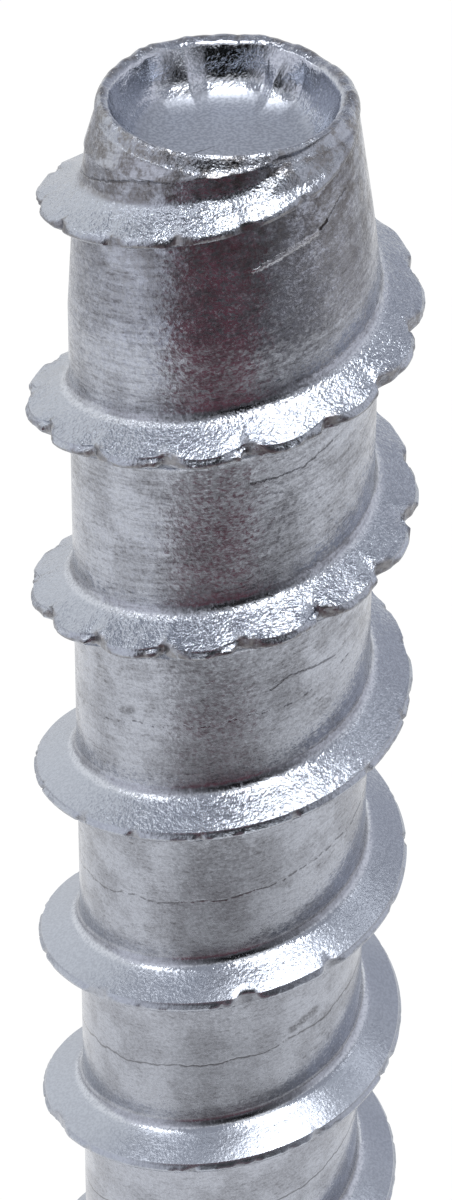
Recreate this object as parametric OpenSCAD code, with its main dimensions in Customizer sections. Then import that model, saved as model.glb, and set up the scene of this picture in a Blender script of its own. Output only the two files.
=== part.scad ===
// Concrete screw: hex washer head, plain shank, coarse cutting thread whose leading turns are
// serrated, and a dished tip. It is one forged and rolled piece of steel.
// The screw stands on its head: the origin is the centre of the head's outer face, and +Z points to the tip.
// All sizes are in millimetres and all angles in degrees.

/* [Core] */
// Diameter of the core between the turns of the thread
core_d = 11.4; // [8:0.1:16]
// Length from the bearing face of the head to the rim of the tip
length = 75; // [45:1:130]
// Length of the plain shank between the head and the thread
plain_length = 15; // [4:0.5:24]
// Step from the core up to the plain shank
shoulder = 0.3; // [0.1:0.05:0.8]
// Radius of the fillet between the bearing face and the plain shank
neck_fillet = 0.6; // [0.2:0.1:1.5]

/* [Thread] */
// Distance along the axis from one turn to the next
pitch = 8.5; // [6:0.1:12]
// Height of the crest over the core
thread_height = 1.7; // [0.8:0.05:2.4]
// Width of the flat on the crest
crest_width = 0.3; // [0.2:0.05:0.8]
// Slope of each flank from the plane across the axis
flank_angle = 26; // [15:1:35]
// Radius of the fillet at the foot of each flank
root_fillet = 0.6; // [0.3:0.05:0.9]
// Angle over which the thread rises out of the tip
lead_in = 215; // [90:5:360]
// Angle over which the thread sinks into the core above the plain shank
run_out = 200; // [60:5:360]
// Drop of the crest below the rim where the thread starts
start_drop = 0.2; // [0:0.05:1]

/* [Serrations] */
// Teeth in one turn of the serrated thread
teeth = 15; // [9:1:20]
// Turns of the thread that are serrated, counted from the tip
serrated_turns = 3.1; // [1:0.1:4]
// Angle over which the notches fade out into the plain thread
notch_fade = 120; // [30:10:360]
// Depth of a notch at the edge of the crest that faces the tip
notch_depth = 0.85; // [0.2:0.05:1]
// Depth of a notch at the edge of the crest that faces the head
notch_depth_back = 0.4; // [0.1:0.05:0.7]

/* [Tip] */
// How much the radius of the core shrinks towards the tip
tip_taper = 1; // [0.3:0.05:1.2]
// Length of the taper, from the rim of the tip
taper_length = 7; // [5:0.5:14]
// How far the taper bends from a plain cone, which is 1, towards a rounded nose
taper_bend = 1.1; // [1:0.1:3]
// Height of the collar around the tip
collar_height = 0.6; // [0.4:0.05:1]
// How far the collar stands out over the tapered core
collar_lip = 0.05; // [0.05:0.01:0.3]
// Width of the round on the outside of the rim
rim_round = 0.5; // [0.2:0.05:0.9]
// Width of the flat on the rim, between its round and the dish
rim_flat = 0.25; // [0.1:0.05:0.6]
// Depth of the dish in the tip
dish_depth = 2; // [0.8:0.1:3]
// Width of the dish's curved wall, from its mouth in to its floor
dish_wall = 0.9; // [0.3:0.05:1.5]

/* [Head] */
// Width of the hexagon across its flats
hex_af = 19; // [13:0.5:26]
// Height of the hexagon
hex_height = 8; // [5:0.5:14]
// Width of the chamfer's ring on the outer face, measured in from the flats
hex_chamfer = 0.5; // [0.2:0.1:1]
// Thickness of the washer under the hexagon
washer_thickness = 2.2; // [1.2:0.1:4]
// How far the washer reaches past the corners of the hexagon
washer_reach = 1.6; // [0.6:0.1:4]
// Bevel on the washer's edge towards the hexagon
washer_bevel = 0.8; // [0.2:0.1:1.1]

/* [Hidden] */
$fn = 96;

// Facets that the thread may have, and steps along each of the short arcs and around the rim
facet_target = 11000;
arc_steps = 8;
rim_steps = 3;
hex_sides = 6;
// Slope of the hexagon's chamfer from its outer face, and how far one form runs on inside the next
chamfer_angle = 30;
sink = 1;

core_r = core_d / 2;
shank_r = core_r + shoulder;
hex_corner_r = hex_af / 2 / cos(180 / hex_sides);
washer_r = hex_corner_r + washer_reach;
bearing_z = hex_height + washer_thickness;
thread_low_z = bearing_z + plain_length;
tip_z = bearing_z + length;
collar_z = tip_z - collar_height;
skin_low_z = thread_low_z - sink;
collar_r = core_radius(collar_z) + collar_lip;
rim_r = collar_r - rim_round;
dish_r = rim_r - rim_flat;

// Half section of the thread: the foot of the flank, and how far the root fillet spreads
// up the flank and along the core
fillet_tangent = root_fillet * tan((90 - flank_angle) / 2);
foot_z = crest_width / 2 + thread_height * tan(flank_angle);
fillet_top_z = foot_z - fillet_tangent * sin(flank_angle);
fillet_top_share = fillet_tangent * cos(flank_angle) / thread_height;
fillet_end_z = foot_z + fillet_tangent;

// Share of the thread's height against the distance from the middle of the crest
flanks = [
    [-fillet_end_z, 0], [-fillet_top_z, fillet_top_share], [-crest_width / 2, 1],
    [crest_width / 2, 1], [fillet_top_z, fillet_top_share], [fillet_end_z, 0]
];
// Depth of a notch against the same distance
notches = [
    [-fillet_top_z, 0], [-crest_width / 2, notch_depth_back], [crest_width / 2, notch_depth], [fillet_top_z, 0]
];

// The crest falls one pitch in each turn from its start at the tip, and the last turn ends on the plain shank
crest_start_z = tip_z - start_drop;
thread_angle = 360 * (crest_start_z - thread_low_z - fillet_end_z) / pitch;
rows_per_turn = len(flanks);
turns = (crest_start_z - skin_low_z) / pitch;
// Two turns more than show, so that the first row lies below the low end all the way round
lowest_turn = ceil(turns) + 2;
columns = 2 * teeth * max(2, floor(facet_target / (4 * rows_per_turn * turns * teeth)));

function clamp(value, low, high) = min(max(value, low), high);

// Radius of the core, which tapers towards the tip
function core_radius(z) = core_r - tip_taper * pow(max(0, 1 - (tip_z - z) / taper_length), taper_bend);

// Share of the full height that the thread has at an angle along the helix, counted from its start at the tip
function thread_share(helix_angle) =
    clamp(min(helix_angle / lead_in, (thread_angle - helix_angle) / run_out), 0, 1);

// Share of the full notch: rounded teeth with a sharp valley between them, fading out past the serrated turns
function notch_share(helix_angle) =
    thread_share(helix_angle) * (1 - abs(cos(helix_angle * teeth / 2)))
    * clamp((360 * serrated_turns - helix_angle) / notch_fade, 0, 1);

// Radius of the threaded core at an angle around the axis and a height
function skin_radius(angle, z) =
    let (
        turns_down = (crest_start_z - z) / pitch + angle / 360,
        turn = round(turns_down),
        off_crest = (turn - turns_down) * pitch,
        helix_angle = 360 * turn - angle
    )
    core_radius(z)
    + thread_height * thread_share(helix_angle) * lookup(off_crest, flanks)
    - notch_share(helix_angle) * lookup(off_crest, notches);

// A point of the skin: rows follow the helix, and those past an end of the thread gather on that end
function skin_point(turn, off_crest, column) =
    let (
        angle = 360 * column / columns,
        z = clamp(crest_start_z - pitch * (turn - column / columns) + off_crest, skin_low_z, collar_z),
        r = skin_radius(angle, z)
    )
    [r * cos(angle), r * sin(angle), z];

function arc(centre, radius, from, to) =
    [for (i = [0 : arc_steps])
        let (a = from + (to - from) * i / arc_steps) centre + radius * [cos(a), sin(a)]];

// A point of the rim: from the collar's lip, or the start of the thread where that stands out more, a round
// leads up to the flat on top
function rim_point(rise, column) =
    let (
        angle = 360 * column / columns,
        lip_r = max(skin_radius(angle, collar_z), collar_r),
        lip_z = collar_z + collar_lip,
        r = rim_r + (lip_r - rim_r) * cos(rise),
        z = lip_z + (tip_z - lip_z) * sin(rise)
    )
    [r * cos(angle), r * sin(angle), z];

// Core, thread and rim as one skin, from inside the plain shank to the tip
module threaded_core() {
    around = [0 : columns - 1];
    helix_rows = [
        for (turn = [lowest_turn : -1 : -1]) for (section = flanks)
            [for (column = around) skin_point(turn, section[0], column)]
    ];
    rim_rows = [
        for (step = [0 : rim_steps]) [for (column = around) rim_point(90 * step / rim_steps, column)]
    ];
    rows = concat(helix_rows, rim_rows);
    points = [for (row = rows) each row];
    last_helix_row = len(helix_rows) - 1;
    last_row = len(rows) - 1;
    // One step past the last column is the first column: a turn higher on the helix, and level on the rim
    function next_turn(row) = row > last_helix_row ? row : min(row + rows_per_turn, last_helix_row);
    function index(row, column) = column < columns ? row * columns + column : next_turn(row) * columns;
    function has_area(face) =
        points[face[0]] != points[face[1]]
        && points[face[1]] != points[face[2]]
        && points[face[2]] != points[face[0]];
    walls = [
        for (row = [0 : last_row - 1]) for (column = around)
            let (
                a = index(row, column),
                b = index(row, column + 1),
                c = index(row + 1, column + 1),
                d = index(row + 1, column)
            )
            each [[a, d, c], [a, c, b]]
    ];
    low_end = [for (column = around) index(0, column)];
    high_end = [for (column = around) index(last_row, columns - 1 - column)];
    // Where rows gather on an end, the walls between them have no area and drop out
    open_walls = [for (face = walls) if (has_area(face)) face];
    polyhedron(points, concat(open_walls, [low_end, high_end]), convexity = 10);
}

// Hollow of the tip: a flat floor and a wall that curves up to the rim
module tip_dish() {
    floor_r = dish_r - dish_wall;
    rotate_extrude()
        polygon(concat(
            [[0, tip_z - dish_depth]],
            [for (i = [0 : arc_steps])
                let (a = 90 * i / arc_steps)
                [floor_r + dish_wall * sin(a), tip_z - dish_depth * cos(a)]],
            [[dish_r, tip_z + sink], [0, tip_z + sink]]
        ));
}

// Plain shank, with a fillet at the bearing face and a chamfer where the thread begins
module plain_shank() {
    rotate_extrude()
        polygon(concat(
            [[0, bearing_z - sink], [shank_r + neck_fillet, bearing_z - sink]],
            arc([shank_r + neck_fillet, bearing_z + neck_fillet], neck_fillet, 270, 180),
            [[shank_r, thread_low_z - shoulder], [core_r - sink, thread_low_z + sink], [0, thread_low_z + sink]]
        ));
}

// Hexagon, with its corners chamfered at the outer face
module hexagon() {
    ring_r = hex_af / 2 - hex_chamfer;
    intersection() {
        cylinder(h = hex_height + sink, r = hex_corner_r, $fn = hex_sides);
        cylinder(h = hex_height + sink, r1 = ring_r, r2 = ring_r + (hex_height + sink) / tan(chamfer_angle));
    }
}

// Washer forged in one with the hexagon
module washer() {
    rotate_extrude()
        polygon([
            [0, hex_height], [washer_r - washer_bevel, hex_height], [washer_r, hex_height + washer_bevel],
            [washer_r, bearing_z], [0, bearing_z]
        ]);
}

module concrete_screw() {
    color("silver")
        difference() {
            union() {
                hexagon();
                washer();
                plain_shank();
                threaded_core();
            }
            tip_dish();
        }
}

concrete_screw();
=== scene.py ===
import math
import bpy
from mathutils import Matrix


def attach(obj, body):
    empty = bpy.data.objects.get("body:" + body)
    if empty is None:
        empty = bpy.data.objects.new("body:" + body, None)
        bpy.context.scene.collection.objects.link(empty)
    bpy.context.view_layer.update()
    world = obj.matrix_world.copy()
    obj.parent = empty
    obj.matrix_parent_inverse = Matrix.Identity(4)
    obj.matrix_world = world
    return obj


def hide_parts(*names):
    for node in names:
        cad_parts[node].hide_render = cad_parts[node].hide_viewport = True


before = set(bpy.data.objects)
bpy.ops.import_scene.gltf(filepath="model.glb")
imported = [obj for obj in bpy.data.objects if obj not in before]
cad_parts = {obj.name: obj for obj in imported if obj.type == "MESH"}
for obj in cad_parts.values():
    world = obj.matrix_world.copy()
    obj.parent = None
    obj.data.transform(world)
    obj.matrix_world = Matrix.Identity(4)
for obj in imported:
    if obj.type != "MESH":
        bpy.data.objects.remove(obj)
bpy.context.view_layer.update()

from types import SimpleNamespace

import bpy
import numpy as np
from mathutils import Matrix, Vector

MM = 0.001

# Sizes of the screw, in millimetres and degrees, as in the CAD source
CORE_R = 5.7
SHANK_R = 6.0
NECK_FILLET = 0.6
LENGTH = 75.0
PLAIN_LENGTH = 15.0
HEX_AF = 19.0
HEX_HEIGHT = 8.0
HEX_CHAMFER = 0.5
HEX_SIDES = 6
CHAMFER_ANGLE = math.radians(30.0)
WASHER_REACH = 1.6
WASHER_THICKNESS = 2.2
WASHER_BEVEL = 0.8
PITCH = 8.5
THREAD_HEIGHT = 1.7
CREST_WIDTH = 0.3
FLANK_ANGLE = math.radians(26.0)
ROOT_FILLET = 0.6
LEAD_IN = 215.0
RUN_OUT = 200.0
START_DROP = 0.2
TEETH = 15
SERRATED_TURNS = 3.1
NOTCH_FADE = 120.0
TIP_TAPER = 1.0
TAPER_LENGTH = 7.0
TAPER_BEND = 1.1
COLLAR_HEIGHT = 0.6
COLLAR_LIP = 0.05
DISH_DEPTH = 2.0

# Sizes that follow from them
WASHER_R = HEX_AF / 2 / math.cos(math.pi / HEX_SIDES) + WASHER_REACH
BEARING_Z = HEX_HEIGHT + WASHER_THICKNESS
THREAD_LOW_Z = BEARING_Z + PLAIN_LENGTH
TIP_Z = BEARING_Z + LENGTH
COLLAR_Z = TIP_Z - COLLAR_HEIGHT
DISH_Z = TIP_Z - DISH_DEPTH
CREST_START_Z = TIP_Z - START_DROP
TOOTH = 360.0 / TEETH
SERRATED_END = SERRATED_TURNS * 360.0
FOOT = CREST_WIDTH / 2 + THREAD_HEIGHT * math.tan(FLANK_ANGLE)
FILLET_TANGENT = ROOT_FILLET * math.tan((math.pi / 2 - FLANK_ANGLE) / 2)
FILLET_TOP = FOOT - FILLET_TANGENT * math.sin(FLANK_ANGLE)
FILLET_END = FOOT + FILLET_TANGENT
THREAD_ANGLE = 360.0 * (CREST_START_Z - THREAD_LOW_Z - FILLET_END) / PITCH

# From here on come forms that only this script has, in the same units.
# Reach of the upper flank where the thread starts, as a share of its full reach
LOW_FOOT = 0.2
# How far the crest falls off to its upper and its lower edge
UPPER_CROWN = 0.13
LOWER_CROWN = 0.06
# Roughness of the crest: heights, and wavelengths in degrees along the helix
FINE_HEIGHT = 0.045
FINE_WAVE = 1.9
COARSE_HEIGHT = 0.035
COARSE_WAVE = 5.5
COARSE_START = 800.0
# Depth of the cut between two teeth, depth of the scoop in the crest's upper edge, and how far a valley is
# bent up towards the tip, as a share of its cut
CUT_DEPTH = 0.48
SCOOP_DEPTH = 0.5
VALLEY_LIFT = 0.8
# Shape of a cut along the helix: widths in shares of a tooth, and heights in shares of the cut
WEDGE_BEND = 1.7
VALLEY_WIDTH = 0.02
STEEP_WIDTH = 0.13
SCOOP_WIDTH = 0.36
LOBE_SHARE = 0.4
WEDGE_SCOOP = 0.35
# Share of the scoop's depth, against the distance above the middle of the crest
SCOOP_PLACES = [-0.16, 0.02, 0.12, 0.62]
SCOOP_SHARES = [0.0, 0.8, 1.0, 0.0]
# Slope of the dish's wall, and fillet at its foot
DISH_SLOPE = math.radians(68.0)
DISH_FILLET = 1.5

# One column a degree, with the seam at the back
COLUMNS = 360
SEAM_ANGLE = 90.0
ANGLES = SEAM_ANGLE + np.arange(COLUMNS) * 360.0 / COLUMNS
COS = np.cos(np.radians(ANGLES))
SIN = np.sin(np.radians(ANGLES))

# Random values, always drawn in the same order
random = np.random.default_rng(41)
NOISE = random.uniform(-1.0, 1.0, 4096)
TOOTH_VALUES = 256
TOOTH_DEPTHS = random.uniform(0.75, 1.15, TOOTH_VALUES)
TOOTH_SHIFTS = random.uniform(-0.04, 0.06, TOOTH_VALUES)
TOOTH_SCOOPS = random.uniform(0.45, 1.1, TOOTH_VALUES)

# Damage of the crest: helix angle, half width in degrees, depth in millimetres. The first chips are placed
# one by one, the next stand a tooth apart where the teeth fade out, and the last lie anywhere past them.
FADING_START = 1004.0
FADING_CHIPS = 19
PLAIN_CHIPS = 56
CHIPS = [
    (1571.0, 7.0, 0.16), (1522.0, 5.5, 0.28), (1494.0, 3.2, 0.22), (1955.0, 9.0, 0.2),
    (1604.0, 2.2, 0.12), (1630.0, 3.0, 0.1), (1655.0, 2.0, 0.16), (1464.0, 2.5, 0.1),
]
CHIPS += [
    (FADING_START + TOOTH * i + random.uniform(-5.0, 5.0), random.uniform(1.3, 2.8), random.uniform(0.1, 0.26))
    for i in range(FADING_CHIPS)
]
CHIPS += [
    (random.uniform(1460.0, 2400.0), random.uniform(1.0, 2.4), random.uniform(0.04, 0.13))
    for _ in range(PLAIN_CHIPS)
]

# Ledge under the rolled-over rim, against the helix angle: its depth below the tip, and how marked it is
LEDGE_ANGLES = [0.0, 40.0, 65.0, 78.0, 96.0, 133.0, 165.0, 210.0]
LEDGE_DEPTHS = [-0.1, 0.04, 0.22, 0.5, 0.68, 1.35, 1.85, 2.5]
LEDGE_SHARES = [0.0, 0.7, 1.0, 1.0, 1.0, 0.55, 0.25, 0.0]
LEDGE_WAVE_HEIGHT = 0.05
LEDGE_WAVE = 9.0
# Height of the upright band under the ledge, against the helix angle, and of the slope below it
BAND_ANGLES = [62.0, 88.0]
BAND_HEIGHTS = [0.35, 0.95]
BAND_SLOPE = 0.45
# How far the band lies back, how far a ridge stands out over the ledge, and how far the lip above leans in
LEDGE_RECESS = 0.36
LEDGE_RIDGE = 0.06
RIDGE_HEIGHT = 0.06
RIDGE_WIDTH = 0.07
LEDGE_LEAN = 0.14
# Wear that rounds the left side of the tip, and the depths below the tip between which it fades out
SHOULDER_DEPTH = 0.24
SHOULDER_ANGLE = 180.0
SHOULDER_SPREAD = 42.0
SHOULDER_LOW = 2.4
SHOULDER_HIGH = 0.2

# Rim from its outer edge over the top into the dish: steps in from the edge, and heights from the tip.
# On most of its way round the rim is rounded; over the ledge it slopes up to a sharp lip.
ROUND_RIM = [
    (0.0, -0.55), (0.015, -0.43), (0.05, -0.31), (0.1, -0.21), (0.17, -0.12), (0.25, -0.05), (0.34, -0.012),
    (0.43, 0.0), (0.52, -0.012), (0.6, -0.05), (0.67, -0.1), (0.72, -0.16), (0.76, -0.24),
]
LIPPED_RIM = [
    (0.14, -0.55), (0.2, -0.5), (0.24, -0.44), (0.28, -0.37), (0.32, -0.3), (0.36, -0.23), (0.4, -0.16),
    (0.44, -0.1), (0.49, -0.04), (0.56, 0.0), (0.64, -0.02), (0.71, -0.11), (0.76, -0.24),
]
RIM_HEIGHT = 0.55
# How far the foot of the rim stands out over the core
RIM_STEP = 0.01
# Share of the lipped form, against the helix angle
LIP_ANGLES = [20.0, 55.0, 140.0, 180.0]
LIP_SHARES = [0.0, 1.0, 1.0, 0.0]
# Waves around the rim: height, wavelength in degrees, and where in the noise they start. The rim is set
# lower by RIM_SINK to make room for them, and they go in and out by a share of their height.
RIM_WAVES = [(0.05, 18.0, 0), (0.035, 6.0, 100), (0.02, 3.0, 300)]
RIM_SINK = 0.06
RADIAL_SHARE = 0.5
WALL_SHARE = 0.55
# Share of the flanks' finish on the rim
RIM_FINISH = 0.7
# Dents around the dish: degrees from the back, to the right, and steps outwards
DENT_PLACES = [-64.0, -42.0, -22.0, -11.0, 0.0, 14.0, 23.0, 31.0, 46.0, 64.0]
DENT_STEPS = [0.0, 0.17, -0.15, 0.0, -0.02, 0.03, 0.06, -0.2, 0.18, 0.0]
DENT_WAVE = (0.03, 15.0, 500)
FLOOR_WAVE = (0.02, 40.0, 200)
# Rings from the dish's mouth to its middle
WALL_STEPS = 6
FILLET_STEPS = 8
FLOOR_SHARES = [0.8, 0.6, 0.4, 0.2]

# Rows of the thread in one turn, from the middle of the land below the crest to that above it
LOWER_ROWS = [-4.25, -FILLET_END, -1.15, -0.98, -FILLET_TOP, -0.5, -0.24]
# The same rows where the thread is low: the share of the lower flank's reach, and the distance past it
LOW_ROWS = [(0.0, 4.1), (1.0, 0.04), (1.0, 0.0), (0.95, 0.0), (0.7, 0.0), (0.4, 0.0), (0.1, 0.0)]
CREST_ROWS = [-0.15, -0.1, 0.0, 0.1, 0.15]
UPPER_ROWS = [0.22, 0.34, 0.48, 0.64, FILLET_TOP, 0.91, 1.01, 1.12, 1.23, FILLET_END]
LAND_ROWS = [1.7, 2.1, 2.5, 2.85, 3.2, 3.5, 3.75, 4.0]
# Near the tip the land's rows close up on the ledge, at these distances from it. Where the ledge lies lower
# than the root fillet, they follow each other over the fillet, ROW_GAP apart.
LEDGE_ROWS = [-0.4, -0.18, -0.08, -0.03, 0.01, 0.06, 0.12, 0.22]
ROW_GAP = 0.02
ROWS = len(LOWER_ROWS + CREST_ROWS + UPPER_ROWS + LAND_ROWS)
# Two turns more than show, so that the first row lies below the low end all the way round
LOWEST_TURN = 9
# Rows closer than this to an end of the thread gather on that end
END_GAP = 0.01
# A ring halfway over the bearing face
BEARING_RING_R = 9.5
# Edges that bend more than this are shaded sharp
SHARP_ANGLE = math.radians(42.0)


def smooth(value, low, high):
    """0 below low, 1 above high, and a smooth step between them."""
    share = np.clip((value - low) / (high - low), 0.0, 1.0)
    return share * share * (3.0 - 2.0 * share)


def wander(value, wavelength, table):
    """Smooth noise from -1 to 1 along one number, from a table of random values."""
    place = value / wavelength
    low = np.floor(place).astype(int)
    share = place - low
    share = share * share * (3.0 - 2.0 * share)
    a = table[low % len(table)]
    b = table[(low + 1) % len(table)]
    return a + (b - a) * share


def wave_around(height, wavelength, start, turn=0.0):
    """Smooth noise around the axis, one value a column, that closes on itself."""
    count = round(360.0 / wavelength)
    return height * wander(ANGLES + turn, wavelength, NOISE[start:start + count])


def core_radius(z):
    return CORE_R - TIP_TAPER * np.maximum(0.0, 1.0 - (TIP_Z - z) / TAPER_LENGTH) ** TAPER_BEND


COLLAR_R = core_radius(COLLAR_Z) + COLLAR_LIP


def helix_place(angle, z):
    """Helix angle from the start at the tip, and distance above the nearest crest."""
    turns_down = (CREST_START_Z - z) / PITCH + angle / 360.0
    turn = np.round(turns_down)
    return 360.0 * turn - angle, (turn - turns_down) * PITCH


def thread_share(helix):
    """Share of the full height that the thread has."""
    return np.clip(np.minimum(helix / LEAD_IN, (THREAD_ANGLE - helix) / RUN_OUT), 0.0, 1.0)


def section(off, share):
    """Height of the thread over the core. Where the thread is low, its upper flank is flatter and its
    lower flank keeps its slope."""
    away = np.where(off > 0.0, off / (LOW_FOOT + (1.0 - LOW_FOOT) * share), -off)
    flank = (FOOT - away) / math.tan(FLANK_ANGLE)
    reach = np.clip(FILLET_END - away, 0.0, ROOT_FILLET)
    fillet = ROOT_FILLET - np.sqrt(ROOT_FILLET**2 - reach**2)
    height = np.where(away < FILLET_TOP, flank, fillet)
    crown = THREAD_HEIGHT - UPPER_CROWN * smooth(off, -0.04, 0.17) - LOWER_CROWN * smooth(-off, 0.06, 0.16)
    height = np.minimum(np.where(away < FILLET_END, height, 0.0), crown)
    return np.where(off > 0.0, share * height, np.maximum(height - (1.0 - share) * THREAD_HEIGHT, 0.0))


def tooth_cuts(helix):
    """Depth of the cut across the crest, and of the scoop in its upper edge, at each helix angle. A cut
    deepens slowly to the valley between two teeth and ends there at a steep wall."""
    tooth = np.floor(helix / TOOTH).astype(int)
    place = helix / TOOTH - tooth
    value = tooth % TOOTH_VALUES
    valley = 0.5 + TOOTH_SHIFTS[value]
    wedge = np.clip(place / valley, 0.0, 1.0) ** WEDGE_BEND
    steep = 1.0 - smooth(place, valley, valley + STEEP_WIDTH)
    lobe = LOBE_SHARE * (1.0 - smooth(place, valley + VALLEY_WIDTH, 1.0))
    cut = np.where(place < valley, wedge, np.maximum(steep, lobe))
    scoop = np.where(place < valley, WEDGE_SCOOP * wedge, 1.0)
    scoop = scoop * (1.0 - smooth(place, valley + VALLEY_WIDTH, valley + SCOOP_WIDTH))
    fade = np.clip((SERRATED_END - helix) / NOTCH_FADE, 0.0, 1.0)
    depth = TOOTH_DEPTHS[value] * thread_share(helix) * fade
    return CUT_DEPTH * depth * cut, SCOOP_DEPTH * depth * scoop * TOOTH_SCOOPS[value]


def chip_depth(helix):
    """Depth of the chips and nicks in the crest."""
    total = np.zeros_like(helix)
    for centre, half_width, depth in CHIPS:
        gap = np.abs(helix - centre) / half_width
        bite = depth * np.maximum(0.0, 1.0 - gap * gap)
        total = np.maximum(total, bite)
    return total


def thread_form(helix, off):
    """Height of the thread over the core with its teeth and damage, and 1 where it is cut flat."""
    share = thread_share(helix)
    fine = FINE_HEIGHT * wander(helix, FINE_WAVE, NOISE)
    coarse = COARSE_HEIGHT * wander(helix + COARSE_START, COARSE_WAVE, NOISE)
    cut, scoop = tooth_cuts(helix)
    cut = np.maximum(cut, share * chip_depth(helix))
    top = np.maximum(share * THREAD_HEIGHT - cut + (fine + coarse) * share, 0.0)
    height = section(off, share) - scoop * np.interp(off, SCOOP_PLACES, SCOOP_SHARES)
    flat = smooth(height - top, -0.03, 0.04) * smooth(share, 0.1, 0.4) * smooth(cut, 0.02, 0.1)
    return np.maximum(np.minimum(height, top), 0.0), flat


def ledge_recess(helix, z):
    """How far the core lies back under the ledge of the rim."""
    ledge_z = TIP_Z - np.interp(helix, LEDGE_ANGLES, LEDGE_DEPTHS)
    ledge_z = ledge_z + LEDGE_WAVE_HEIGHT * wander(helix, LEDGE_WAVE, NOISE)
    share = np.interp(helix, LEDGE_ANGLES, LEDGE_SHARES, right=0.0)
    above = z - ledge_z
    band = np.interp(helix, BAND_ANGLES, BAND_HEIGHTS)
    under = (1.0 - smooth(above, -0.06, 0.02)) * smooth(above, -band - BAND_SLOPE, -band)
    ridge = np.exp(-((above - RIDGE_HEIGHT) / RIDGE_WIDTH) ** 2)
    lean = LEDGE_LEAN * smooth(above, 0.1, 0.6) * np.interp(helix, LIP_ANGLES, LIP_SHARES)
    return share * (LEDGE_RECESS * under - LEDGE_RIDGE * ridge) + lean * (z < COLLAR_Z + END_GAP)


def shoulder(angle, z):
    """How far the tip is worn round on its left side."""
    from_left = (angle % 360.0 - SHOULDER_ANGLE) / SHOULDER_SPREAD
    fade = smooth(z, TIP_Z - SHOULDER_LOW, TIP_Z - SHOULDER_HIGH)
    return SHOULDER_DEPTH * np.exp(-from_left * from_left) * fade


def skin_radius(angle, z):
    """Radius of the threaded core, with its wear."""
    helix, off = helix_place(angle, z)
    height = thread_form(helix, off)[0]
    return core_radius(z) + height - ledge_recess(helix, z) - shoulder(angle, z)


vertices = []
faces = []
zones = {"flank": [], "edge": [], "dish": []}


def add_vertices(x, y, z, flank=0.0, edge=0.0, dish=0.0):
    """Adds points in millimetres, with their shares of the zones, and returns their indices."""
    count = len(x)
    start = sum(len(block) for block in vertices)
    vertices.append(np.stack([x, y, z], axis=1))
    for name, value in (("flank", flank), ("edge", edge), ("dish", dish)):
        zones[name].append(np.broadcast_to(np.asarray(value, float), (count,)))
    return np.arange(start, start + count)


def add_ring(radius, z, **zone):
    radius = np.broadcast_to(np.asarray(radius, float), (COLUMNS,))
    z = np.broadcast_to(np.asarray(z, float), (COLUMNS,))
    return add_vertices(radius * COS, radius * SIN, z, **zone)


def add_band(low, high):
    """Faces between two rings of indices."""
    low_next = np.roll(low, -1)
    high_next = np.roll(high, -1)
    faces.extend(zip(low.tolist(), low_next.tolist(), high_next.tolist(), high.tolist()))


def add_fan(ring, z, up, **zone):
    """Faces from a ring to a point on the axis."""
    centre = add_vertices(np.zeros(1), np.zeros(1), np.full(1, z), **zone)[0]
    after = np.roll(ring, -1)
    for a, b in zip(ring.tolist(), after.tolist()):
        faces.append((a, b, centre) if up else (b, a, centre))


def row_heights():
    """Heights of the rows that follow the helix, one for each column."""
    rows = []
    for turn in range(LOWEST_TURN, -2, -1):
        helix = 360.0 * turn - ANGLES
        near_tip = 1.0 - smooth(helix, 190.0, 330.0)
        crest_z = CREST_START_Z - PITCH * helix / 360.0
        ledge_off = TIP_Z - np.interp(helix, LEDGE_ANGLES, LEDGE_DEPTHS) - crest_z
        share = thread_share(helix)
        full = smooth(share, 0.8, 1.0)
        reach = share * THREAD_HEIGHT * math.tan(FLANK_ANGLE)
        for off, (part, past) in zip(LOWER_ROWS, LOW_ROWS):
            close = -CREST_WIDTH / 2 - reach * part - past
            rows.append(crest_z + close + (off - close) * full)
        for off in CREST_ROWS + UPPER_ROWS:
            rows.append(crest_z + off)
        for place, (even, from_ledge) in enumerate(zip(LAND_ROWS, LEDGE_ROWS)):
            close = np.maximum(ledge_off + from_ledge, FILLET_END + ROW_GAP * (place + 1))
            rows.append(crest_z + even + (close - even) * near_tip)
    return np.array(rows)


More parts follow.
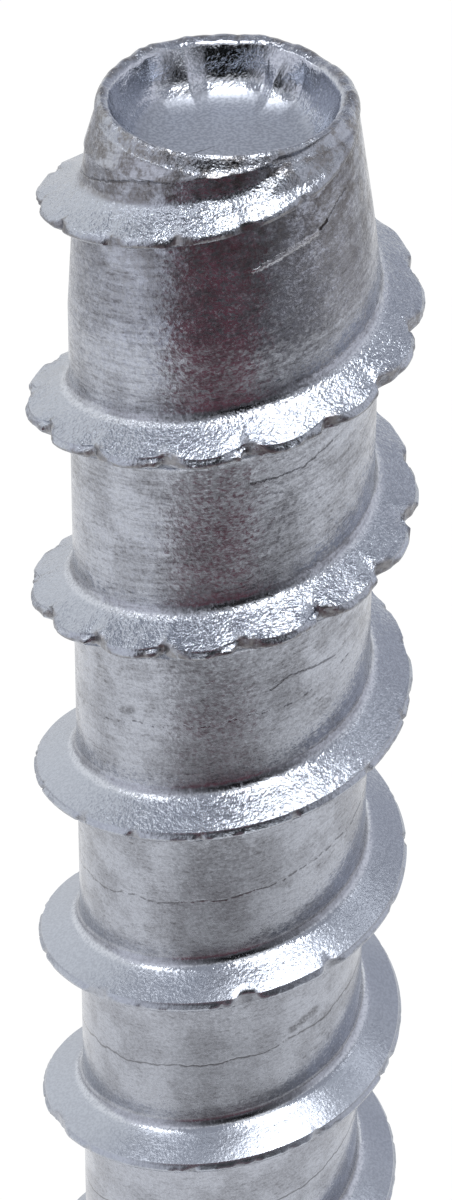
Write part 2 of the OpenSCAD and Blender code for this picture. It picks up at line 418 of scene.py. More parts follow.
def add_thread():
    """Core and thread between two rings; returns the rings."""
    z = row_heights()
    low_ring = add_ring(skin_radius(ANGLES, np.full(COLUMNS, THREAD_LOW_Z)), THREAD_LOW_Z)
    high_ring = add_ring(skin_radius(ANGLES, np.full(COLUMNS, COLLAR_Z)), COLLAR_Z)
    index = np.where(z <= THREAD_LOW_Z + END_GAP, low_ring, high_ring)
    row, column = np.nonzero((z > THREAD_LOW_Z + END_GAP) & (z < COLLAR_Z - END_GAP))
    inner_z = z[row, column]
    angle = ANGLES[column]
    radius = skin_radius(angle, inner_z)
    helix, off = helix_place(angle, inner_z)
    share = np.clip(thread_share(helix) * 3.0, 0.0, 1.0)
    height, flat = thread_form(helix, off)
    # The valleys between the teeth are bent up towards the tip
    cut = tooth_cuts(helix)[0]
    lift = VALLEY_LIFT * cut * np.clip(height / THREAD_HEIGHT, 0.0, 1.0) ** 3
    # The worn edge lies along the crest's lower side and on the cuts, and the flanks between it and the root
    lower_edge = smooth(off, -0.2, -0.12) * (1.0 - smooth(off, -0.07, 0.0))
    edge = np.maximum(0.8 * share * lower_edge, 0.7 * flat)
    flank = share * (1.0 - smooth(np.abs(off), 0.86, 1.06)) * (1.0 - edge)
    flank = flank * np.where(off < 0.0, smooth(height, 0.0, 0.06), 1.0)
    index[row, column] = add_vertices(
        radius * COS[column], radius * SIN[column], inner_z + lift, flank=flank, edge=edge
    )
    # One step past the last column is the first column, one turn higher
    wrapped = np.vstack([index[ROWS:], np.repeat(high_ring[None, :], ROWS, axis=0)])[:, :1]
    index = np.hstack([index, wrapped])
    corners = np.stack([index[:-1, :-1], index[:-1, 1:], index[1:, 1:], index[1:, :-1]], axis=-1)
    # Where rows gather on an end, a face loses corners, and one with fewer than three drops out
    for quad in corners.reshape(-1, 4).tolist():
        face = tuple(dict.fromkeys(quad))
        if len(face) > 2:
            faces.append(face)
    return low_ring, high_ring


def hexagon_radius(angle):
    """Radius of the hexagon, with slightly rounded corners."""
    step = 360.0 / HEX_SIDES
    from_corner = np.radians((angle + step / 2) % step - step / 2)
    half = math.radians(step / 2)
    sharpness = 14.0
    a = HEX_AF / 2 / np.cos(half - from_corner)
    b = HEX_AF / 2 / np.cos(half + from_corner)
    return -np.log(np.exp(-sharpness * a) + np.exp(-sharpness * b)) / sharpness


def add_head():
    """Rings from the outer face to the end of the plain shank, with small rounds on the edges; returns the
    last ring."""
    hexagon = hexagon_radius(ANGLES)
    ring_r = HEX_AF / 2 - HEX_CHAMFER
    chamfer_z = (hexagon - ring_r) * math.tan(CHAMFER_ANGLE)
    bevel_r = WASHER_R - WASHER_BEVEL
    bevel_z = HEX_HEIGHT + WASHER_BEVEL
    profile = [
        (ring_r - 0.12, 0.0), (ring_r + 0.04, 0.035),
        (hexagon - 0.1, chamfer_z - 0.06), (hexagon - 0.02, chamfer_z + 0.03), (hexagon, chamfer_z + 0.14),
        (hexagon, HEX_HEIGHT - 0.3), (hexagon + 0.1, HEX_HEIGHT - 0.09), (hexagon + 0.32, HEX_HEIGHT),
        (bevel_r - 0.1, HEX_HEIGHT), (bevel_r + 0.08, HEX_HEIGHT + 0.05),
        (WASHER_R - 0.07, bevel_z - 0.09), (WASHER_R, bevel_z + 0.1),
        (WASHER_R, BEARING_Z - 0.12), (WASHER_R - 0.035, BEARING_Z - 0.035), (WASHER_R - 0.12, BEARING_Z),
        (BEARING_RING_R, BEARING_Z),
    ]
    # Fillet between the bearing face and the plain shank
    for degrees in range(270, 179, -15):
        turn = math.radians(degrees)
        profile.append((
            SHANK_R + NECK_FILLET + NECK_FILLET * math.cos(turn),
            BEARING_Z + NECK_FILLET + NECK_FILLET * math.sin(turn),
        ))
    profile.append((SHANK_R, THREAD_LOW_Z - 0.42))
    profile.append((SHANK_R - 0.04, THREAD_LOW_Z - 0.26))
    rings = [add_ring(radius, z) for radius, z in profile]
    add_fan(rings[0], 0.0, up=False)
    for low, high in zip(rings, rings[1:]):
        add_band(low, high)
    return rings[-1]


def rim_rings(wave):
    """The rim, from the collar over the top to the mouth of the dish."""
    worn_r = COLLAR_R - shoulder(ANGLES, np.full(COLUMNS, COLLAR_Z))
    lip_r = np.maximum(skin_radius(ANGLES, np.full(COLUMNS, COLLAR_Z)) + RIM_STEP, worn_r)
    helix = (720.0 - ANGLES) % 360.0
    lipped = np.interp(helix, LIP_ANGLES, LIP_SHARES)
    rings = []
    for (round_step, round_z), (lip_step, lip_z) in zip(ROUND_RIM, LIPPED_RIM):
        step = round_step + (lip_step - round_step) * lipped
        height = round_z + (lip_z - round_z) * lipped
        share = np.clip(1.0 + height / RIM_HEIGHT, 0.0, 1.0)
        z = TIP_Z + height + (wave - RIM_SINK) * share
        outer_r = lip_r + (COLLAR_R - lip_r) * smooth(step, 0.0, 0.6)
        recess = ledge_recess(helix, z) * (1.0 - smooth(step, 0.2, 0.45))
        r = outer_r - step + RADIAL_SHARE * wave * share - recess
        rings.append(add_ring(r, z, flank=RIM_FINISH, dish=float(smooth(round_step, 0.5, 0.76))))
    return rings


def dish_rings(wave):
    """A sloping wall, an uneven fillet at its foot, and the floor."""
    from_back = (270.0 - ANGLES) % 360.0 - 180.0
    dents = np.interp(from_back, DENT_PLACES, DENT_STEPS) + wave_around(*DENT_WAVE)
    mouth_step, mouth_z = ROUND_RIM[-1]
    mouth_r = COLLAR_R - mouth_step
    wall_depth = DISH_DEPTH + mouth_z
    corner_r = mouth_r - wall_depth / math.tan(DISH_SLOPE)
    floor_r = corner_r - DISH_FILLET * math.tan(DISH_SLOPE / 2)
    fillet_r = floor_r + DISH_FILLET * math.sin(DISH_SLOPE)
    fillet_height = DISH_FILLET * (1.0 - math.cos(DISH_SLOPE))
    rings = []
    for i in range(1, WALL_STEPS):
        share = i / WALL_STEPS
        fade = 1.0 - share
        r = mouth_r + (fillet_r + dents - mouth_r) * share + RADIAL_SHARE * wave * fade
        height = wall_depth + (fillet_height - wall_depth) * share
        rings.append(add_ring(r, DISH_Z + height + (wave - RIM_SINK) * fade * WALL_SHARE, dish=1.0))
    for i in range(FILLET_STEPS + 1):
        turn = DISH_SLOPE * (1.0 - i / FILLET_STEPS)
        r = floor_r + DISH_FILLET * math.sin(turn) + dents
        rings.append(add_ring(r, DISH_Z + DISH_FILLET * (1.0 - math.cos(turn)), dish=1.0))
    for share in FLOOR_SHARES:
        bump = wave_around(*FLOOR_WAVE, turn=500.0 * share) * share
        rings.append(add_ring((floor_r + dents) * share, DISH_Z + bump, dish=1.0))
    return rings


def add_tip(high_ring):
    """Rim and dish above the last ring of the core."""
    wave = sum(wave_around(*row) for row in RIM_WAVES)
    rings = [high_ring] + rim_rings(wave) + dish_rings(wave)
    for low, high in zip(rings, rings[1:]):
        add_band(low, high)
    add_fan(rings[-1], DISH_Z, up=True, dish=1.0)


def make_screw():
    shank_end = add_head()
    low_ring, high_ring = add_thread()
    add_band(shank_end, low_ring)
    add_tip(high_ring)
    mesh = bpy.data.meshes.new("screw_body")
    points = np.concatenate(vertices) * MM
    mesh.from_pydata(points.tolist(), [], faces)
    for name, blocks in zones.items():
        attribute = mesh.attributes.new(name, "FLOAT", "POINT")
        attribute.data.foreach_set("value", np.concatenate(blocks).astype(np.float32))
    mesh.shade_smooth()
    mesh.set_sharp_from_angle(angle=SHARP_ANGLE)
    mesh.update()
    body = bpy.data.objects.new("screw_body", mesh)
    bpy.context.scene.collection.objects.link(body)
    return body


class Nodes:
    """Short ways to add shader nodes and join them."""

    def __init__(self, tree):
        self.tree = tree

    def new(self, kind, inputs=None, **settings):
        node = self.tree.nodes.new(kind)
        for name, value in settings.items():
            setattr(node, name, value)
        for name, value in (inputs or {}).items():
            self.set(node.inputs[name], value)
        return node

    def set(self, socket, value):
        if isinstance(value, bpy.types.NodeSocket):
            self.tree.links.new(value, socket)
        else:
            socket.default_value = value

    def math(self, operation, a, b=0.0, c=0.0, clamp=False):
        node = self.new("ShaderNodeMath", operation=operation, use_clamp=clamp)
        for socket, value in zip(node.inputs, (a, b, c)):
            self.set(socket, value)
        return node.outputs[0]

    def product(self, first, *others):
        for other in others:
            first = self.math("MULTIPLY", first, other)
        return first

    def largest(self, first, *others):
        for other in others:
            first = self.math("MAXIMUM", first, other)
        return first

    def weighted(self, *terms):
        """Sum of values, each times its weight."""
        total = 0.0
        for value, weight in terms:
            total = self.math("MULTIPLY_ADD", value, weight, total)
        return total

    def vector(self, operation, a, b=None):
        """Arithmetic with vectors; for SCALE, b is the factor."""
        node = self.new("ShaderNodeVectorMath", operation=operation)
        self.set(node.inputs[0], a)
        if b is not None:
            self.set(node.inputs["Scale" if operation == "SCALE" else 1], b)
        return node.outputs[0]

    def combine(self, x, y, z):
        return self.new("ShaderNodeCombineXYZ", {"X": x, "Y": y, "Z": z}).outputs[0]

    def ramp(self, value, low, high, to_low=0.0, to_high=1.0):
        """A smooth step from to_low, where the value is low, to to_high, where it is high."""
        inputs = {"Value": value, "From Min": low, "From Max": high, "To Min": to_low, "To Max": to_high}
        return self.new("ShaderNodeMapRange", inputs, interpolation_type="SMOOTHSTEP").outputs["Result"]

    def noise(self, vector, scale, detail, roughness=0.5, w=None):
        inputs = {"Vector": vector, "Scale": scale, "Detail": detail, "Roughness": roughness}
        dimensions = "3D"
        if w is not None:
            inputs["W"] = w
            dimensions = "4D"
        return self.new("ShaderNodeTexNoise", inputs, noise_dimensions=dimensions).outputs["Fac"]

    def mix(self, share, a, b):
        """A colour between two colours."""
        node = self.new("ShaderNodeMix", data_type="RGBA")
        self.set(node.inputs["Factor"], share)
        self.set(node.inputs[6], a)
        self.set(node.inputs[7], b)
        return node.outputs[2]

    def blend(self, share, a, b):
        """A number between two numbers."""
        node = self.new("ShaderNodeMix", data_type="FLOAT")
        self.set(node.inputs["Factor"], share)
        self.set(node.inputs[2], a)
        self.set(node.inputs[3], b)
        return node.outputs[0]

    def attribute(self, name, output="Fac"):
        return self.new("ShaderNodeAttribute", attribute_name=name).outputs[output]


def new_material(name):
    material = bpy.data.materials.new(name)
    material.use_nodes = True
    material.node_tree.nodes.clear()
    return material, Nodes(material.node_tree)


# Colours of the plating
LAND_DARK = (0.15, 0.15, 0.165, 1.0)
LAND_LIGHT = (0.53, 0.557, 0.625, 1.0)
LAND_STAIN = (0.14, 0.128, 0.124, 1.0)
FLANK_DARK = (0.42, 0.45, 0.51, 1.0)
FLANK_LIGHT = (0.48, 0.515, 0.58, 1.0)
FLANK_STAIN = (0.22, 0.212, 0.212, 1.0)
DISH_FLOOR_DARK = (0.315, 0.336, 0.383, 1.0)
DISH_FLOOR_LIGHT = (0.41, 0.436, 0.494, 1.0)
DISH_WALL_DARK = (0.45, 0.48, 0.54, 1.0)
DISH_WALL_LIGHT = (0.57, 0.6, 0.67, 1.0)
EDGE_DARK = (0.12, 0.108, 0.104, 1.0)
EDGE_LIGHT = (0.34, 0.33, 0.33, 1.0)
# Colour of the painted highlight along the root of the upper flank
ROOT_PAINTED_HIGHLIGHT = (0.7, 0.73, 0.79, 1.0)
MARK_DARK = (0.045, 0.04, 0.042, 1.0)
SCRATCH_LIGHT = (0.62, 0.63, 0.67, 1.0)

# Marks of rolling and handling: the places that a line goes through, as helix angle and distance above the
# crest, and the line's half width
SCRATCH = ([(438.4, 6.42), (424.8, 6.59), (410.7, 6.61)], 0.14)
CRACK = ([(409.0, 6.68), (405.5, 6.8)], 0.13)
HAIRLINES = [
    ([(405.0, 6.82), (399.0, 7.08), (392.0, 7.18)], 0.07),
    ([(1151.7, 5.03), (1143.6, 5.31), (1122.0, 4.78)], 0.055),
    ([(800.0, 6.2), (780.0, 6.0), (766.0, 6.3)], 0.05),
    ([(114.0, 1.75), (133.0, 1.78), (160.0, 1.5), (180.0, 1.3)], 0.07),
]
SMUDGES = [
    ([(1210.5, 4.62), (1207.0, 4.72)], 0.3),
    ([(1860.0, 4.6), (1849.0, 4.75)], 0.3),
]

# Scale of the glinting facets, in cells to a millimetre
FACET_SCALE = 7.5


def along_helix(n, f, rings, stretch, drift):
    """Noise that is drawn out along the helix, without a seam."""
    spot = n.combine(
        n.math("MULTIPLY_ADD", f.z, drift, n.math("MULTIPLY", f.x, stretch)),
        n.math("MULTIPLY", f.y, stretch),
        n.math("MULTIPLY", n.math("COSINE", f.phase), rings),
    )
    w = n.math("MULTIPLY", n.math("SINE", f.phase), rings)
    return n.noise(spot, 1.0, detail=3.0, roughness=0.6, w=w)


def surface_fields(n):
    """Places, in millimetres, and the noise and zones that the plating is made from. A ramp over z gives
    the heights between which a look changes on the way from the head to the tip."""
    f = SimpleNamespace()
    f.mm = n.vector("SCALE", n.new("ShaderNodeTexCoord").outputs["Object"], 1.0 / MM)
    f.x, f.y, f.z = n.new("ShaderNodeSeparateXYZ", {"Vector": f.mm}).outputs

    # Turns along the helix from its start, and distance above the crest
    around = n.math("DIVIDE", n.math("ARCTAN2", f.y, f.x), 2.0 * math.pi)
    height = n.math("DIVIDE", n.math("SUBTRACT", f.z, CREST_START_Z), PITCH)
    turns = n.math("SUBTRACT", height, around)
    whole = n.math("FLOOR", n.math("ADD", turns, 0.15))
    f.off = n.math("MULTIPLY", n.math("SUBTRACT", turns, whole), PITCH)
    f.helix_turns = n.math("SUBTRACT", n.math("MULTIPLY", whole, -1.0), around)
    f.phase = n.math("MULTIPLY", turns, 2.0 * math.pi)

    f.streaks = along_helix(n, f, rings=9.0, stretch=0.5, drift=0.13)
    f.flecks = along_helix(n, f, rings=15.0, stretch=3.2, drift=0.4)
    f.speckle = n.noise(f.mm, 9.0, detail=2.0, roughness=0.55)
    f.grain = n.noise(f.mm, 3.4, detail=3.0, roughness=0.6)
    f.clouds = n.noise(f.mm, 0.5, detail=4.0, roughness=0.6)
    f.speckle_mask = n.ramp(f.speckle, 0.41, 0.59)

    f.flank = n.attribute("flank")
    f.dish = n.attribute("dish")
    f.wall = n.ramp(f.z, DISH_Z + 0.05, DISH_Z + 0.5)
    f.edge = n.product(
        n.attribute("edge"), n.ramp(f.grain, 0.4, 0.56, 0.3, 1.0), n.ramp(f.z, 50.0, 66.0, 0.2, 1.0)
    )
    # Painted highlight: a bright line painted along the root of the upper flank, which is also made glossier
    # there
    f.root = n.product(
        n.ramp(f.off, 0.77, 0.86), n.ramp(f.off, 0.93, 1.02, 1.0, 0.0), n.ramp(f.helix_turns, 0.5, 0.7),
        n.ramp(f.z, THREAD_LOW_Z + 4.0, THREAD_LOW_Z + 8.0), n.ramp(f.speckle, 0.36, 0.54, 0.3, 1.0),
    )
    # Share of the fine relief, which is weaker towards the head
    f.lively = n.ramp(f.z, 42.0, 78.0, 0.22, 1.0)
    # Share of light plating on the lands, between dark flecks, streaks and cloudy patches
    streak_mask = n.blend(n.ramp(f.z, 48.0, 74.0, 0.25, 1.0), 0.5, n.ramp(f.streaks, 0.4, 0.56))
    light = n.weighted(
        (streak_mask, 0.22), (n.ramp(f.flecks, 0.35, 0.47), 0.26), (n.ramp(f.clouds, 0.41, 0.57), 0.28),
        (f.speckle_mask, 0.24),
    )
    f.light = n.blend(n.ramp(f.z, 36.0, 68.0, 0.75, 1.0), 0.6, light)
    return f


def line_mark(n, f, points, half_width):
    """1 along a slightly wavy line through the points, and 0 past its half width."""
    along = n.math("MULTIPLY", f.helix_turns, 2.0 * math.pi * CORE_R)
    wobble = n.math("MULTIPLY_ADD", f.grain, 0.3, -0.15)
    gaps = []
    for (helix_a, off_a), (helix_b, off_b) in zip(points, points[1:]):
        start = math.radians(helix_a) * CORE_R
        run = math.radians(helix_b) * CORE_R - start
        rise = off_b - off_a
        du = n.math("SUBTRACT", along, start)
        dv = n.math("SUBTRACT", f.off, off_a)
        dot = n.math("MULTIPLY_ADD", du, run, n.math("MULTIPLY", dv, rise))
        share = n.math("DIVIDE", dot, run * run + rise * rise, clamp=True)
        eu = n.math("MULTIPLY_ADD", share, -run, du)
        ev = n.math("ADD", n.math("MULTIPLY_ADD", share, -rise, dv), wobble)
        gaps.append(n.math("SQRT", n.math("MULTIPLY_ADD", eu, eu, n.math("MULTIPLY", ev, ev))))
    nearest = gaps[0]
    for gap in gaps[1:]:
        nearest = n.math("MINIMUM", nearest, gap)
    return n.ramp(nearest, half_width * 0.3, half_width, 1.0, 0.0)


def dark_marks(n, f):
    """Cracks, hairlines, smudges and broken bits of a rolling seam, on the lands alone."""
    hairlines = n.largest(*[line_mark(n, f, *line) for line in HAIRLINES])
    seam_gap = n.math("SUBTRACT", n.math("MULTIPLY_ADD", f.clouds, 0.9, 3.62), f.off)
    seam = n.product(
        n.ramp(n.math("ABSOLUTE", seam_gap), 0.01, 0.07, 1.0, 0.0),
        n.ramp(n.math("MULTIPLY_ADD", f.helix_turns, 0.12, f.grain), 0.92, 1.02),
        n.ramp(f.z, THREAD_LOW_Z + 0.5, THREAD_LOW_Z + 3.0),
    )
    smudges = n.largest(*[line_mark(n, f, *line) for line in SMUDGES])
    smudges = n.product(smudges, n.ramp(f.speckle, 0.34, 0.56, 0.1, 0.6))
    thin = n.product(n.largest(hairlines, seam), 0.6)
    marks = n.largest(thin, line_mark(n, f, *CRACK), smudges)
    return n.product(marks, n.math("SUBTRACT", 1.0, f.flank))


def plating_color(n, f):
    # Brown stains that thicken towards the tip
    patches = n.noise(f.mm, 1.4, detail=4.0, roughness=0.65)
    stains = n.product(
        n.ramp(patches, 0.43, 0.57, 0.1, 1.0), n.ramp(f.speckle, 0.32, 0.58, 0.3, 1.0),
        n.ramp(f.z, 77.0, 84.5, 0.0, 0.85),
    )
    land = n.mix(stains, n.mix(f.light, LAND_DARK, LAND_LIGHT), LAND_STAIN)
    flank = n.mix(f.speckle_mask, FLANK_DARK, FLANK_LIGHT)
    flank = n.mix(n.product(stains, n.ramp(f.z, 83.5, 84.6)), flank, FLANK_STAIN)
    dish_floor = n.mix(f.speckle_mask, DISH_FLOOR_DARK, DISH_FLOOR_LIGHT)
    dish_wall = n.mix(f.speckle_mask, DISH_WALL_DARK, DISH_WALL_LIGHT)
    edge = n.mix(n.ramp(f.grain, 0.4, 0.7), EDGE_DARK, EDGE_LIGHT)
    color = n.mix(f.flank, land, flank)
    color = n.mix(f.dish, color, n.mix(f.wall, dish_floor, dish_wall))
    # Painted highlight: the root of the upper flank is lightened
    color = n.mix(n.product(f.root, 0.5), color, ROOT_PAINTED_HIGHLIGHT)
    color = n.mix(f.edge, color, edge)
    color = n.mix(f.dark_marks, color, MARK_DARK)
    return n.mix(n.product(f.scratch, 0.7), color, SCRATCH_LIGHT)


def plating_roughness(n, f):
    land = n.ramp(f.light, 0.2, 0.9, 0.28, 0.15)
    land = n.blend(n.ramp(f.speckle, 0.56, 0.66), land, 0.42)
    flank = n.blend(n.ramp(f.z, 46.0, 76.0), 0.28, n.ramp(f.speckle, 0.3, 0.7, 0.13, 0.23))
    dish = n.blend(f.wall, 0.65, n.ramp(f.speckle, 0.3, 0.7, 0.06, 0.12))
    rough = n.blend(f.flank, land, flank)
    rough = n.blend(f.root, rough, 0.1)
    # The head and the plain shank are duller
    rough = n.blend(n.ramp(f.z, THREAD_LOW_Z - 4.0, THREAD_LOW_Z + 4.0), 0.4, rough)
    rough = n.blend(f.dish, rough, dish)
    return n.blend(f.edge, rough, 0.42)


def plating_normal(n, f):
    """Fine relief, in millimetres, with small facets over it that glint."""
    land = n.weighted(
        (f.speckle, 0.009), (f.flecks, 0.006), (f.grain, 0.02), (f.clouds, 0.03), (f.dark_marks, -0.03),
        (f.scratch, 0.03),
    )
    flank = n.weighted((f.grain, 0.03), (f.speckle, 0.04))
    # The dish has slanting tool marks and lumps on its wall
    slant = n.combine(
        n.product(n.math("ADD", f.x, f.y), 0.7),
        n.product(n.math("SUBTRACT", f.x, f.y), 4.5),
        n.product(f.z, 3.0),
    )
    tool_marks = n.product(n.noise(slant, 1.0, detail=3.0, roughness=0.6), f.wall)
    lumps = n.product(n.noise(f.mm, 0.75, detail=0.0), f.wall)
    dish = n.weighted((tool_marks, 0.03), (lumps, 0.13), (f.speckle, 0.012))
    relief = n.blend(f.dish, n.product(n.blend(f.flank, land, flank), f.lively), dish)
    bump = n.new("ShaderNodeBump", {"Height": relief, "Strength": 1.0, "Distance": MM})

    cells = n.new("ShaderNodeTexVoronoi", {"Vector": f.mm, "Scale": FACET_SCALE})
    tilt = n.vector("SUBTRACT", cells.outputs["Color"], (0.5, 0.5, 0.5))
    lean = n.blend(f.flank, 0.13, n.ramp(f.clouds, 0.36, 0.6, 0.1, 0.21))
    lean = n.product(n.blend(f.dish, lean, 0.03), f.lively)
    return n.vector("NORMALIZE", n.vector("ADD", bump.outputs["Normal"], n.vector("SCALE", tilt, lean)))


def zinc_material():
    material, n = new_material("zinc_plated_steel")
    f = surface_fields(n)
    f.scratch = line_mark(n, f, *SCRATCH)
    f.dark_marks = dark_marks(n, f)
    shader = n.new("ShaderNodeBsdfPrincipled", {
        "Metallic": 1.0,
        "Base Color": plating_color(n, f),
        "Roughness": plating_roughness(n, f),
        "Normal": plating_normal(n, f),
    })
    n.new("ShaderNodeOutputMaterial", {"Surface": shader.outputs[0]})
    return material


# Stage around the screw, in metres and degrees. Azimuths count from the front, to the right.
FLOOR_HALF = 3.0
FLOOR_Z = -0.0001
WHITE = (1.0, 1.0, 1.0, 1.0)
PALE = (0.8, 0.8, 0.8, 1.0)
SHADED = (0.28, 0.28, 0.28, 1.0)
FLOOR_GLOW = 0.8
WORLD_LIGHT = 0.4
LAMP_TARGET = Vector((0.0, 0.0, 0.06))

# Painted reflections of the room around the screw, as tones of a glowing floor card: azimuth, colour, and how
# far the front's near tones reach there
RED = (0.178, 0.06, 0.083)
ROOM = [
    (-180.0, (1.0, 1.0, 1.0), 0.0), (-150.0, (0.46, 0.46, 0.48), 0.0), (-112.0, (0.5, 0.5, 0.53), 0.0),
    (-88.0, (0.86, 0.87, 0.92), 0.0), (-62.0, (0.88, 0.9, 0.97), 0.1), (-43.0, (0.46, 0.47, 0.53), 0.35),
    (-34.0, RED, 0.75), (-12.0, RED, 1.0), (8.0, RED, 1.0), (19.0, RED, 0.85),
    (30.0, (0.15, 0.142, 0.16), 0.6), (68.0, (0.17, 0.16, 0.175), 0.1), (80.0, (0.43, 0.41, 0.405), 0.0),
    (112.0, (0.47, 0.45, 0.45), 0.0), (136.0, (0.65, 0.65, 0.66), 0.0), (160.0, (1.0, 1.0, 1.0), 0.0),
]
# Share of the room's tone in the floor, against the distance from the screw: in front, and to the sides
FLOOR_DISTANCES = [0.045, 0.07, 0.08, 0.092, 0.112, 0.15, 0.2, 0.3]
FRONT_SHARES = [0.3, 0.68, 0.73, 0.78, 0.92, 1.0, 1.0, 1.0]
SIDE_SHARES = [0.0, 0.0, 0.02, 0.06, 0.2, 0.6, 1.0, 1.0]
# Share of plain grey in the room's tone, against the same distance
GREY_SHARES = [1.0, 1.0, 0.9, 0.75, 0.45, 0.2, 0.0, 0.0]
FLOOR_TONE = 0.97
# Grey of the glowing wall card, a painted reflection, against the azimuth, with a little blue
WALL_AZIMUTHS = [-100.0, -62.0, -40.0, -27.0, 24.0, 40.0, 62.0, 122.0]
WALL_TONES = [0.8, 0.92, 0.42, 0.15, 0.15, 0.3, 0.75, 0.85]
WALL_BLUE = 1.06
# Middle and half width of the dark card, a black sheet that shows only as a painted dark reflection, and its
# tones there and at its sides
DARK_MIDDLE = -2.0
DARK_HALF = 20.0
DARK_TONE = 0.005
DARK_RISE = 0.1

# Cards in section: distances from the axis, and heights
ROOM_FLOOR = [(distance, 0.0005) for distance in FLOOR_DISTANCES]
ROOM_WALL = [(0.3, 0.001), (0.36, 0.06), (0.36, 0.35)]
DARK_CARD = [(0.3, 0.08), (0.3, 0.27)]
REAR_CARD = [(0.7, 0.2), (0.7, 0.68)]
CEILING = [(0.66, 0.66), (0.2, 0.72), (0.0, 0.72)]


def background_share(n):
    """1 for the rays that see the background: those of the camera, reflections and glass."""
    path = n.new("ShaderNodeLightPath")
    rays = ("Is Camera Ray", "Is Glossy Ray", "Is Transmission Ray")
    return n.largest(*[path.outputs[ray] for ray in rays])


def floor_material():
    """Pale; the rays that see the background find it nearly white, with the screw's shadow on it."""
    material, n = new_material("floor")
    material.cycles.emission_sampling = "NONE"
    plain = n.new("ShaderNodeBsdfDiffuse", {"Color": PALE})
    shaded = n.new("ShaderNodeBsdfDiffuse", {"Color": SHADED})
    glow = n.new("ShaderNodeEmission", {"Color": WHITE, "Strength": FLOOR_GLOW})
    seen = n.new("ShaderNodeAddShader", {0: shaded.outputs[0], 1: glow.outputs[0]})
    mixed = n.new("ShaderNodeMixShader", {0: background_share(n), 1: plain.outputs[0], 2: seen.outputs[0]})
    n.new("ShaderNodeOutputMaterial", {"Surface": mixed.outputs[0]})
    return material


def reflection_glow_material():
    """Glows with the colours that are kept with the points of a card; as the cards light nothing, these are
    painted reflections.
    """
    material, n = new_material("card")
    material.cycles.emission_sampling = "NONE"
    glow = n.new("ShaderNodeEmission", {"Color": n.attribute("tone", "Color"), "Strength": 1.0})
    n.new("ShaderNodeOutputMaterial", {"Surface": glow.outputs[0]})
    return material


def add_sheet(name, points, quads, material):
    mesh = bpy.data.meshes.new(name)
    mesh.from_pydata(points, [], quads)
    mesh.materials.append(material)
    made = bpy.data.objects.new(name, mesh)
    bpy.context.scene.collection.objects.link(made)
    return made


def add_floor():
    corners = [(-1, -1), (1, -1), (1, 1), (-1, 1)]
    points = [(x * FLOOR_HALF, y * FLOOR_HALF, FLOOR_Z) for x, y in corners]
    add_sheet("floor", points, [(0, 1, 2, 3)], floor_material())


def room_tone(azimuth, distance):
    places = [row[0] for row in ROOM]
    color = [np.interp(azimuth, places, [row[1][i] for row in ROOM]) for i in range(3)]
    grey = sum(color) / 3
    plain = np.interp(distance, FLOOR_DISTANCES, GREY_SHARES)
    color = [value + (grey - value) * plain for value in color]
    front = np.interp(azimuth, places, [row[2] for row in ROOM])
    in_front = np.interp(distance, FLOOR_DISTANCES, FRONT_SHARES)
    beside = np.interp(distance, FLOOR_DISTANCES, SIDE_SHARES)
    share = beside + (in_front - beside) * front
    return [FLOOR_TONE + (value - FLOOR_TONE) * share for value in color]


def wall_tone(azimuth, distance):
    grey = np.interp(azimuth, WALL_AZIMUTHS, WALL_TONES)
    return [grey, grey, grey * WALL_BLUE]


def dark_tone(azimuth, distance):
    """Black in the middle of the dark card, and lighter towards its sides."""
    grey = DARK_TONE + DARK_RISE * (abs(azimuth - DARK_MIDDLE) / DARK_HALF) ** 4
    return [grey, grey, grey]


def rear_tone(azimuth, distance):
    return [0.56, 0.57, 0.63]


def ceiling_tone(azimuth, distance):
    return [0.4, 0.413, 0.458]


def add_card(name, first, last, step, profile, tone, material):
    """A glowing card around the screw that lights nothing and that only reflections see, a painted reflection,
    from the first azimuth to the last. Its tone is a function of the azimuth and the distance."""
    azimuths = np.arange(first, last + step / 2, step)
    across = len(profile)
    points = []
    tones = []
    quads = []
    for azimuth in azimuths:
        turn = math.radians(azimuth)
        for distance, height in profile:
            points.append((distance * math.sin(turn), -distance * math.cos(turn), height))
            tones.append((*tone(azimuth, distance), 1.0))
    for i in range(len(azimuths) - 1):
        for j in range(across - 1):
            a = i * across + j
            quads.append((a, a + across, a + across + 1, a + 1))
    card = add_sheet(name, points, quads, material)
    attribute = card.data.attributes.new("tone", "FLOAT_COLOR", "POINT")
    attribute.data.foreach_set("color", np.array(tones, np.float32).ravel())
    card.visible_camera = False
    card.visible_diffuse = False
    card.visible_shadow = False
    card.visible_transmission = False


def add_cards():
    # Glowing cards that show only as painted reflections in the metal
    material = reflection_glow_material()
    add_card("room_floor", -180.0, 160.0, 2.0, ROOM_FLOOR, room_tone, material)
    add_card("room_wall", -100.0, 122.0, 2.0, ROOM_WALL, wall_tone, material)
    add_card("dark_card", -22.0, 18.0, 2.0, DARK_CARD, dark_tone, material)
    add_card("rear_card", 100.0, 195.0, 5.0, REAR_CARD, rear_tone, material)
    add_card("ceiling", 20.0, 340.0, 5.0, CEILING, ceiling_tone, material)


def add_lamp(name, direction, distance, width, height, radiance):
    """A soft rectangular lamp that shines on the screw from a direction."""
    data = bpy.data.lights.new(name, "AREA")
    data.shape = "RECTANGLE"
    data.size = width
    data.size_y = height
    data.energy = radiance * math.pi * width * height
    lamp = bpy.data.objects.new(name, data)
    way = Vector(direction).normalized()
    lamp.location = LAMP_TARGET + way * distance
    lamp.rotation_mode = "QUATERNION"
    lamp.rotation_quaternion = way.to_track_quat("Z", "Y")
    bpy.context.scene.collection.objects.link(lamp)


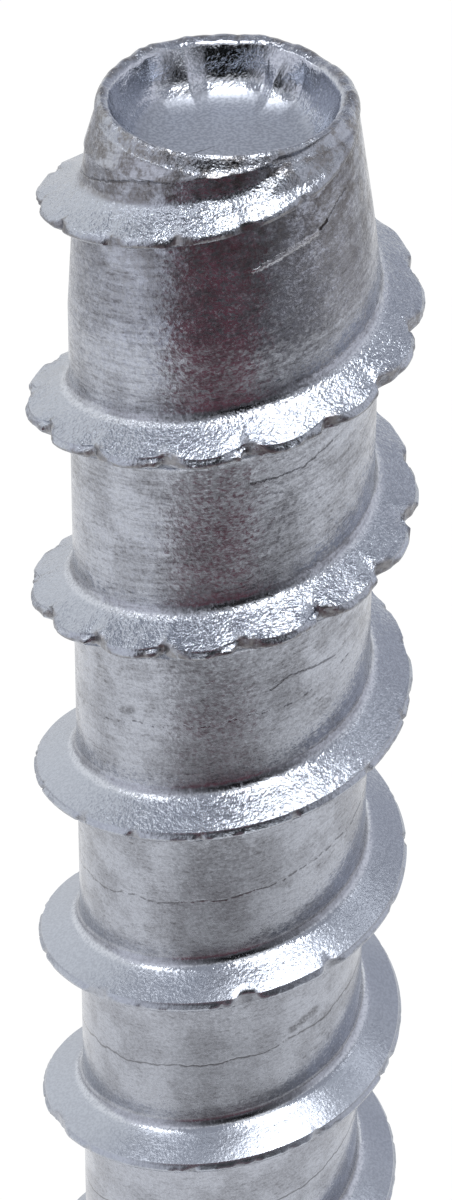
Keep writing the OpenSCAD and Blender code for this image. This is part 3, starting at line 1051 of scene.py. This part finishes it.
def add_lamps():
    add_lamp("top_lamp", (0.0, -0.16, 1.0), distance=0.5, width=0.19, height=0.38, radiance=6.0)
    add_lamp("left_lamp", (-0.69, 0.02, 0.72), distance=0.6, width=0.15, height=0.15, radiance=2.8)
    add_lamp("right_lamp", (0.56, 0.08, 0.83), distance=0.6, width=0.12, height=0.12, radiance=1.6)


def make_world():
    """White for the rays that see the background, and dimmer as a light."""
    world = bpy.data.worlds.new("studio")
    bpy.context.scene.world = world
    world.use_nodes = True
    world.node_tree.nodes.clear()
    n = Nodes(world.node_tree)
    strength = n.blend(background_share(n), WORLD_LIGHT, 1.0)
    background = n.new("ShaderNodeBackground", {"Color": WHITE, "Strength": strength})
    n.new("ShaderNodeOutputWorld", {"Surface": background.outputs[0]})


# Camera fitted to the photo, in metres and radians, with its lens and sensor in millimetres
CAMERA_SENSOR = 36.0
CAMERA_LENS = 134.91
CAMERA_SHIFT = 0.00295
CAMERA_NEAR = 0.005
CAMERA_FAR = 20.0
CAMERA_ELEVATION = math.radians(35.94)
CAMERA_DISTANCE = 0.17231
CAMERA_TARGET = Vector((0.0, 0.0, 0.06306))
CAMERA_ROLL = 0.0034


def make_camera():
    data = bpy.data.cameras.new("camera")
    data.sensor_width = CAMERA_SENSOR
    data.lens = CAMERA_LENS
    data.shift_x = CAMERA_SHIFT
    data.clip_start = CAMERA_NEAR
    data.clip_end = CAMERA_FAR
    camera = bpy.data.objects.new("camera", data)
    way = Vector((0.0, -math.cos(CAMERA_ELEVATION), math.sin(CAMERA_ELEVATION)))
    camera.matrix_world = (
        Matrix.Translation(CAMERA_TARGET + CAMERA_DISTANCE * way)
        @ Matrix.Rotation(math.pi / 2 - CAMERA_ELEVATION, 4, "X")
        @ Matrix.Rotation(CAMERA_ROLL, 4, "Z")
    )
    bpy.context.scene.collection.objects.link(camera)
    bpy.context.scene.camera = camera


screw = make_screw()
screw.data.materials.append(zinc_material())
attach(screw, "root")
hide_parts("concrete_screw")

add_floor()
add_cards()
add_lamps()
make_world()
make_camera()
bpy.context.scene.view_settings.view_transform = "Standard"
